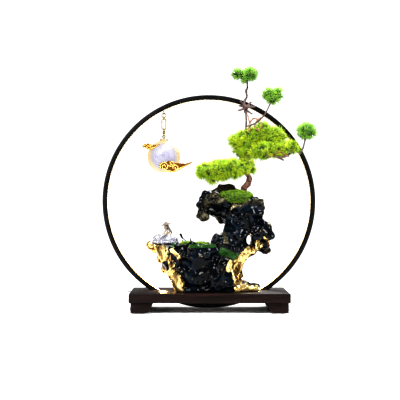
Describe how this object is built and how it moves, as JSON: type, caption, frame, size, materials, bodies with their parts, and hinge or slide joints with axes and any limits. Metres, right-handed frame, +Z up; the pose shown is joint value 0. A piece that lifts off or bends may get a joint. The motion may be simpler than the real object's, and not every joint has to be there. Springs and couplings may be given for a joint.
{
  "type": "tabletop water fountain",
  "caption": "Tabletop fountain: light ring on a wooden stand round a cast rock with pump and pool, a miniature pine, a hanging moon lamp with clouds and a seated figure.",
  "frame": {"origin": "on the table, under the middle of the stand", "axes": "+Z up, +X to the right and +Y to the back as the fountain faces the viewer"},
  "size_m": [0.35, 0.13, 0.3959],
  "materials": {
    "dark_wood": "dark stain, satin lacquer",
    "black_metal": "black anodised",
    "black_plastic": "moulded",
    "impeller_plastic": "moulded",
    "slider_plastic": "moulded",
    "light_strip": "flexible circuit with small lamps",
    "frosted_diffuser": "frosted, lit warm from behind",
    "steel": "zinc plated",
    "switch_metal": "plated",
    "power_inlet": "moulded",
    "rubber": "soft",
    "circuit_board": "solder mask",
    "cable": "flexible sheath",
    "hose": "milky flexible tube",
    "pump_shaft": "ground",
    "rock_resin": "glossy blue-black with gold leaf patches",
    "deck": "textured",
    "moss": "flocked",
    "white_resin": "pearly, with a grey-brown hat and hair",
    "gold": "gilt",
    "moon": "translucent, lit warm from inside",
    "pod": "moulded",
    "pod_light": "warm lamp on a small board",
    "cells": "bright",
    "bark": "matt",
    "root_plug": "cork",
    "leaves": "fine needles",
    "tuft_leaves": "fine needles"
  },
  "bodies": {
    "base": {"board": "dark_wood", "foot_left": "dark_wood", "foot_right": "dark_wood", "foot_screws": "steel", "foot_pads": "rubber", "ring_channel": "black_metal", "light_strip": "light_strip", "ring_diffuser": "frosted_diffuser", "ring_saddle": "black_plastic", "saddle_screws": "steel", "ring_bolts": "steel", "strip_lead": "cable", "driver_board": "circuit_board", "driver_cover": "black_plastic", "cover_screws": "steel", "power_inlet": "power_inlet", "switch_bush": "switch_metal", "switch_lead": "cable", "rock_basin": "rock_resin", "rock_tower": "rock_resin", "rock_screws": "steel", "bowl_moss": "moss", "seated_figure": "white_resin", "pump_motor": "black_plastic", "pump_front": "black_plastic", "pump_shaft": "pump_shaft", "suction_cups": "rubber", "pump_cable": "cable", "water_hose": "hose", "spout_nozzle": "black_plastic", "hook_eye": "gold", "trunk": "bark", "branches": "bark", "root_plug": "root_plug", "leaf_pad_low": "leaves", "leaf_pad_middle": "leaves", "leaf_pad_high": "leaves", "leaf_tufts": "tuft_leaves"},
    "toggle": {"switch_lever": "black_plastic"},
    "rotor": {"pump_impeller": "impeller_plastic"},
    "slider": {"flow_slider": "slider_plastic"},
    "deck": {"deck_plate": "deck", "deck_moss": "moss", "leaning_rod": "white_resin"},
    "hanger": {"hanger_link": "gold"},
    "chain": {"chain_links": "gold", "swivel_eye": "gold"},
    "lamp": {"lamp_cap": "gold", "moon_globe": "moon", "light_pod": "pod", "coin_cells": "cells", "pod_light": "pod_light", "upper_cloud": "gold", "lower_cloud": "gold"}
  },
  "joints": [
    {"name": "switch_throw", "type": "hinge", "parent": "base", "child": "toggle", "pos_m": [-0.1265, 0.04, 0.0265], "axis": [0, 0, 1], "range_deg": [0, 24]},
    {"name": "impeller_spin", "type": "hinge", "parent": "base", "child": "rotor", "pos_m": [-0.03, 0, 0.061], "axis": [1, 0, 0], "continuous": true},
    {"name": "flow_adjust", "type": "slide", "parent": "base", "child": "slider", "axis": [0, 0, -1], "range_m": [0, 0.0094]},
    {"name": "deck_lift", "type": "slide", "parent": "base", "child": "deck", "axis": [0, 0, 1], "range_m": [0, 0.03]},
    {"name": "lamp_swing", "type": "hinge", "parent": "base", "child": "hanger", "pos_m": [-0.0742, 0.018, 0.32021], "axis": [0, 1, 0], "range_deg": [-3, 12]},
    {"name": "lamp_tilt", "type": "hinge", "parent": "hanger", "child": "chain", "pos_m": [-0.0742, 0.018, 0.31521], "axis": [1, 0, 0], "range_deg": [-4, 12]},
    {"name": "lamp_turn", "type": "hinge", "parent": "chain", "child": "lamp", "pos_m": [-0.0742, 0.018, 0.25], "axis": [0, 0, 1], "continuous": true}
  ]
}
